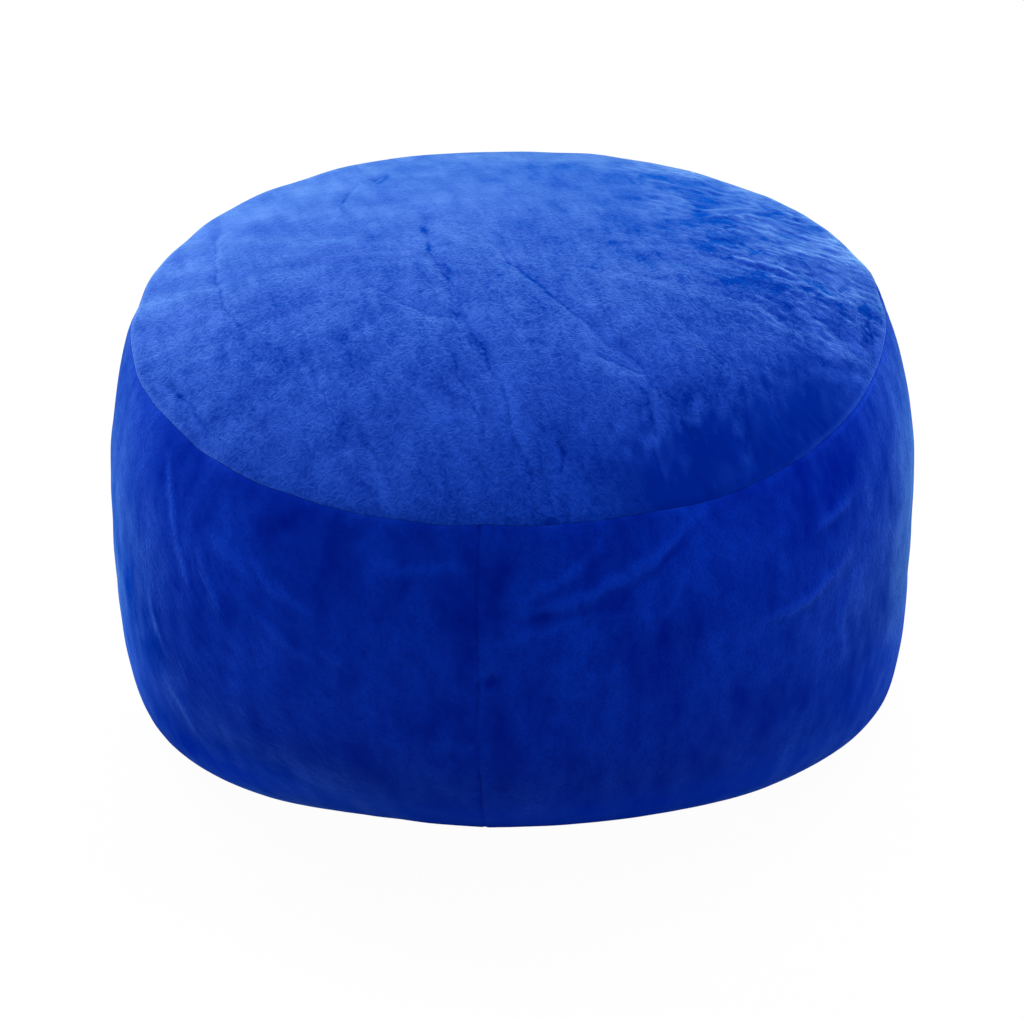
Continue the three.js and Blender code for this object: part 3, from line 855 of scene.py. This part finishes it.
def plush(name, colours, strokes, turned_strokes, look):
    """Short plush: between pile that lies down, darker and deeper in colour, and pile that stands to the
    light. What lays it is the brushed mark, which also holds painted light and shade, strokes drawn out
    along one direction, or along another where the turned mark is 1, a grain with fine curls, each a thin
    line where a noise crosses its middle, and where the turned mark is 1 the crests of ripples, painted
    lighter as highlights. Creases show as thin uneven lines of painted shade with a painted highlight
    beside them. Where the flattened mark is 1, the pile is pressed flat."""
    s = Shader(name)
    place = s.object_place()
    brushed_and_painted_light, turned, curly = s.mark("brushed_and_painted_light"), s.mark("turned"), s.mark("curly")
    straight, slanted = s.stretched(place, *strokes), s.stretched(place, *turned_strokes)
    stroke = s.noise(straight, STROKES_SCALE, 2.0, 0.5, 0.3) * (1 - turned)
    stroke = stroke + s.noise(slanted, STROKES_SCALE, 2.0, 0.5, 0.3) * turned
    drawn = s.stretched(place, (0, 0, 0), (1, look["drawn"], 1))
    grain = s.noise(drawn, GRAIN_SCALE, 1.5, 0.5, 1.2)
    curls = s.noise(drawn, CURLS_SCALE, 1.0, 0.5, 1.0).thin_lines(7.0)
    crests = s.noise(slanted, CRESTS_SCALE, 1.0, 0.5, 1.0).thin_lines(4.5)
    crests = crests * turned * (s.noise(place, 30.0, 2.0) * 5.0 - 1.9).clamped()
    dark_line, light_line = parted_pile_shade_and_highlight(s, place)
    lay_and_painted_light = 0.5 + brushed_and_painted_light + (stroke - 0.5) * look["strokes"] * (curly * 0.75 + 0.25)
    lay_and_painted_light = lay_and_painted_light + (grain - 0.5) * look["grain"] * curly + (curls - 0.42) * look["curls"] * curly
    # Painted highlights on the ripples' crests, and painted shade among them
    lay_and_painted_light = lay_and_painted_light + (crests - 0.2 * turned) * look["crests"]
    # Painted shade along the crease lines, with a painted highlight beside them
    lay_and_painted_light = (lay_and_painted_light - dark_line * look["line"] + light_line * look["line"] * 0.55).clamped()
    height = grain * 0.6 + stroke * 0.5 + curls * 0.5 * curly + crests * 0.8 - dark_line * 0.8
    normal = s.bump(look["bump"], PILE_LENGTH, height)
    lying, standing, pressed = (pile(s, colour, sheen, normal) for colour, sheen in colours)
    return s.finish(s.mix(s.mark("flattened"), s.mix(lay_and_painted_light, lying, standing), pressed))


def base_cloth():
    """Plain woven cloth: warp and weft as crossed sine waves a millimetre apart, with a slow mottle, and
    painted shade along the edge that lies under the band."""
    s = Shader("base cloth")
    place = s.object_place()
    weave = s.threads(place, "X", THREADS_SCALE) * s.threads(place, "Y", THREADS_SCALE)
    thread = (weave * 0.6 + s.noise(place, 24.0, 3.0) * 0.4).clamped()
    surface = s.add("ShaderNodeBsdfPrincipled", {}, {
        "Base Color": s.blend(s.mark("edge"), s.blend(thread, BASE_HOLLOW, BASE_THREAD), BASE_EDGE_SHADE),
        "Roughness": 0.85,
        "Specular IOR Level": 0.2,
        "Normal": s.bump(0.5, 0.0006, weave),
    })
    return s.finish(surface)


def pale_floor():
    """A white studio floor, lit from behind so that only a faint shadow shows on it. To the bag it is
    dark, as a raised sheet of glass over a dark room is."""
    s = Shader("pale floor")
    seen = s.add("ShaderNodeLightPath", {}, {}, 0)
    glow = s.add("ShaderNodeEmission", {}, {"Color": (1.0, 1.0, 1.0, 1.0), "Strength": 1.0})
    matt = s.add("ShaderNodeBsdfDiffuse", {}, {"Color": (0.93, 0.93, 0.93, 1.0)})
    dark = s.add("ShaderNodeBsdfDiffuse", {}, {"Color": (0.12, 0.12, 0.12, 1.0)})
    material = s.finish(s.mix(seen, dark, s.mix(FLOOR_SHADOW, glow, matt)))
    sides = np.array([(-1, -1), (1, -1), (1, 1), (-1, 1)]) * FLOOR_REACH
    corners = np.concatenate([sides, np.full((4, 1), FLOOR_LEVEL)], 1)
    floor = new_piece("floor", corners, [np.array([[0, 1, 2, 3]])], {})
    floor.data.materials.append(material)


def dress(piece, node, material):
    piece.data.materials.append(material)
    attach(piece, "root")
    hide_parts(node)


# Softboxes round the bag: azimuth and elevation in degrees, and power in watts
SOFTBOXES = {
    #              azimuth  elevation  power
    "rear left key": (135, 35, 50.5),
    "rear": (90, 35, 16.6),
    "overhead right": (45, 62, 38.2),
    "low left": (180, 8, 20.6),
    "low front left": (225, 8, 14.0),
    "low front right": (315, 8, 17.5),
    "right": (0, 35, 10.1),
    "low right": (0, 8, 7.0),
}
SOFTBOX_SIZE = 1.2
SOFTBOX_DISTANCE = 2.2
SOFTBOX_AIM = Vector((0.0, 0.0, 0.2))


def softbox(name, azimuth, elevation, power):
    """A square area light that stands that way from the bag and faces it."""
    light = bpy.data.lights.new(name, "AREA")
    light.shape = "SQUARE"
    light.size = SOFTBOX_SIZE
    light.energy = power
    lamp = bpy.data.objects.new(name, light)
    bpy.context.scene.collection.objects.link(lamp)
    turn, rise = math.radians(azimuth), math.radians(elevation)
    away = Vector((math.cos(turn) * math.cos(rise), math.sin(turn) * math.cos(rise), math.sin(rise)))
    place = SOFTBOX_AIM + away * SOFTBOX_DISTANCE
    lamp.matrix_world = Matrix.Translation(place) @ away.to_track_quat("Z", "Y").to_matrix().to_4x4()


def studio():
    """White all round to the camera, and dark to the bag, which only the softboxes light."""
    world = bpy.data.worlds.new("studio")
    world.use_nodes = True
    tree = world.node_tree
    background = tree.nodes["Background"]
    background.inputs["Color"].default_value = (1.0, 1.0, 1.0, 1.0)
    seen = tree.nodes.new("ShaderNodeLightPath")
    tree.links.new(seen.outputs["Is Camera Ray"], background.inputs["Strength"])
    bpy.context.scene.world = world
    for name, (azimuth, elevation, power) in SOFTBOXES.items():
        softbox(name, azimuth, elevation, power)
    bpy.context.scene.view_settings.view_transform = "Standard"


# The photograph's camera: degrees and metres, the lens in millimetres
CAMERA = {
    "elevation": 27.5,
    "distance": 2.405,
    "lens": 104.3,
    "lowered": 0.185,
    "roll": -0.6,
    "target": (0, 0, 0.1625),
}


def camera():
    """The camera at the photograph's angle: it stands at its elevation in front of the target, points a
    little lower and is turned a little about its own axis."""
    data = bpy.data.cameras.new("camera")
    data.lens = CAMERA["lens"]
    view = bpy.data.objects.new("camera", data)
    bpy.context.scene.collection.objects.link(view)
    elevation = math.radians(CAMERA["elevation"])
    back = Vector((0, -math.cos(elevation), math.sin(elevation)))
    pitch = math.radians(90 - CAMERA["elevation"] - CAMERA["lowered"])
    turn = Matrix.Rotation(pitch, 4, "X") @ Matrix.Rotation(math.radians(CAMERA["roll"]), 4, "Z")
    view.matrix_world = Matrix.Translation(Vector(CAMERA["target"]) + back * CAMERA["distance"]) @ turn
    bpy.context.scene.camera = view


camera()
studio()
pale_floor()

top_panel = make_top_panel()
side_band = make_side_band()
base_panel = make_base_panel()

# Colour and sheen of the pile where it lies down, where it stands to the light, and where it is flattened
TOP_COLOURS = (
    ((0.0000, 0.0105, 0.240), (0.01, 0.22, 0.70)),
    ((0.0008, 0.0390, 0.450), (0.45, 0.88, 1.0)),
    ((0.0005, 0.0400, 0.780), (0.0, 0.0, 0.0)),
)
BAND_COLOURS = (
    ((0.0000, 0.0080, 0.280), (0.004, 0.12, 0.72)),
    ((0.0006, 0.0320, 0.520), (0.18, 0.49, 1.0)),
    ((0.0005, 0.0400, 0.780), (0.0, 0.0, 0.0)),
)

# How strongly each pattern of the pile shows, with the painted shade of the crease lines and the painted
# highlights of the ripples' crests, how rough its relief is, and how far its curls are drawn out
TOP_LOOK = {
    "strokes": 0.62,
    "grain": 0.75,
    "curls": 0.20,
    "crests": 0.50,
    "line": 0.48,
    "bump": 0.24,
    "drawn": 1.6,
}
BAND_LOOK = {
    "strokes": 0.92,
    "grain": 0.45,
    "curls": 0.26,
    "crests": 0.0,
    "line": 0.38,
    "bump": 0.22,
    "drawn": 1.0,
}

# The turn and the stretch of each kind of stroke
TOP_STROKES = ((0, 0, 12), (1, 5, 1))
RIPPLE_STROKES = ((0, 0, 62), (1, 1.5, 1))
BAND_STROKES = ((0, 0, 0), (1, 1, 2.2))
SLANTED_STROKES = ((0, 50, 135), (1, 1, 2.2))

top_plush = plush("top plush", TOP_COLOURS, TOP_STROKES, RIPPLE_STROKES, TOP_LOOK)
side_plush = plush("side plush", BAND_COLOURS, BAND_STROKES, SLANTED_STROKES, BAND_LOOK)
dress(top_panel, "top_panel", top_plush)
dress(side_band, "side_band", side_plush)
dress(base_panel, "base_panel", base_cloth())
cut_width, cut_length, cut_area = base_cut()
